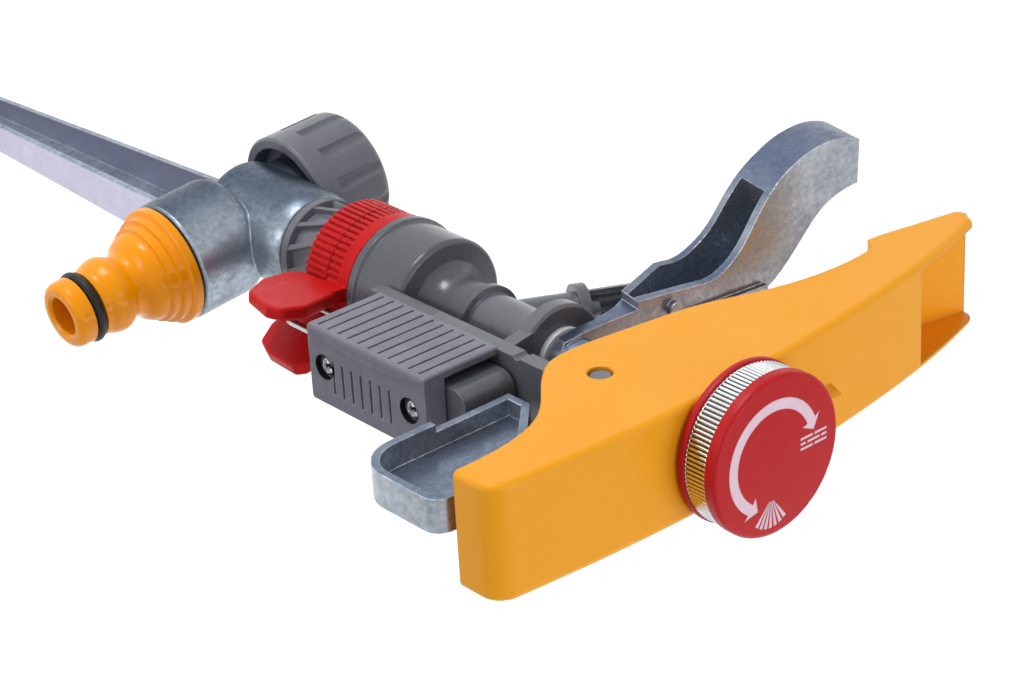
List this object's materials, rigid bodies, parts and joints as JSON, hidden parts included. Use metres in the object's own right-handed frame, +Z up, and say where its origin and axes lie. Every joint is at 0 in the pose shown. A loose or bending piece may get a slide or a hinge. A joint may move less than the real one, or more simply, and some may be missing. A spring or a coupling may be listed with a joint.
{
  "type": "impact sprinkler",
  "caption": "Impact sprinkler on a ground spike: jet tube, spring-returned arm, trip lever with set collars and a tilting hood worked by a knob.",
  "frame": {"origin": "on the sprinkler's turning axis at the soil line, where the spike starts to stand in the ground", "axes": "+Z up the turning axis, +X along the head towards the jet and the arm's spoon, +Y to the left of the jet"},
  "size_m": [0.1447, 0.0412, 0.398],
  "materials": {
    "zinc": "satin cast",
    "yellow": "semi-gloss",
    "red": "semi-gloss",
    "grey": "satin",
    "dark_grey": "satin",
    "light_grey": "satin",
    "white": "satin",
    "black_rubber": "matte",
    "steel": "bright",
    "chrome": "polished",
    "brass": "satin"
  },
  "bodies": {
    "base": {"spike_casting": "zinc", "hose_nose": "yellow", "nose_o_ring": "black_rubber", "nose_washer": "black_rubber", "bearing_nut": "grey"},
    "cap": {"end_cap": "grey", "cap_washer": "black_rubber"},
    "lower_ring": {"lower_collar": "red"},
    "upper_ring": {"upper_collar": "red"},
    "head": {"head_body": "grey", "bearing_tube": "brass", "bearing_washers": "white", "bearing_spring": "steel", "nozzle_tip": "light_grey", "trip_cover": "grey", "cover_screws": "steel", "trip_pin": "steel", "trip_spring": "steel", "arm_washer": "white", "arm_spring": "steel", "fulcrum_pin": "steel", "hood_pin": "light_grey"},
    "arm": {"impact_arm": "zinc"},
    "trip": {"trip_lever": "dark_grey", "trip_wire": "steel"},
    "hood_body": {"hood": "yellow"},
    "knob": {"knob_base": "red", "knob_ring": "chrome", "knob_cap": "red", "knob_spindle": "steel"},
    "swivel": {"spindle_nut": "brass"}
  },
  "joints": [
    {"name": "head_turn", "type": "hinge", "parent": "base", "child": "head", "pos_m": [0, 0, 0.1], "axis": [0, 0, 1], "continuous": true},
    {"name": "lower_ring_turn", "type": "hinge", "parent": "base", "child": "lower_ring", "pos_m": [0, 0, 0.0987], "axis": [0, 0, 1], "range_deg": [-2, 145]},
    {"name": "upper_ring_turn", "type": "hinge", "parent": "base", "child": "upper_ring", "pos_m": [0, 0, 0.1058], "axis": [0, 0, 1], "range_deg": [-160, 0]},
    {"name": "arm_swing", "type": "hinge", "parent": "head", "child": "arm", "pos_m": [0, 0, 0.1655], "axis": [0, 0, 1], "range_deg": [0, 75], "stiffness_Nm_per_rad": 0.01, "springref_deg": -17.19},
    {"name": "trip_flip", "type": "hinge", "parent": "head", "child": "trip", "pos_m": [-0.0235, 0, 0.142], "axis": [1, 0, 0], "range_deg": [-5, 0]},
    {"name": "hood_tilt", "type": "hinge", "parent": "head", "child": "hood_body", "pos_m": [-0.0148, 0, 0.1871], "axis": [0, 1, 0], "range_deg": [0, 10]},
    {"name": "knob_turn", "type": "hinge", "parent": "hood_body", "child": "knob", "pos_m": [0, 0, 0.2082], "axis": [0, 0, 1], "range_deg": [-260, 0]},
    {"name": "swivel_turn", "type": "hinge", "parent": "head", "child": "swivel", "pos_m": [0, 0, 0.1858], "axis": [0, 1, 0], "range_deg": [0, 10]},
    {"name": "cap_off", "type": "slide", "parent": "base", "child": "cap", "axis": [0.9944, 0.1052, 0], "range_m": [0, 0.03]}
  ],
  "couplings": [
    {"joint": "hood_tilt", "follows": "knob_turn", "ratio": -0.03846},
    {"joint": "swivel_turn", "follows": "knob_turn", "ratio": -0.03846}
  ]
}
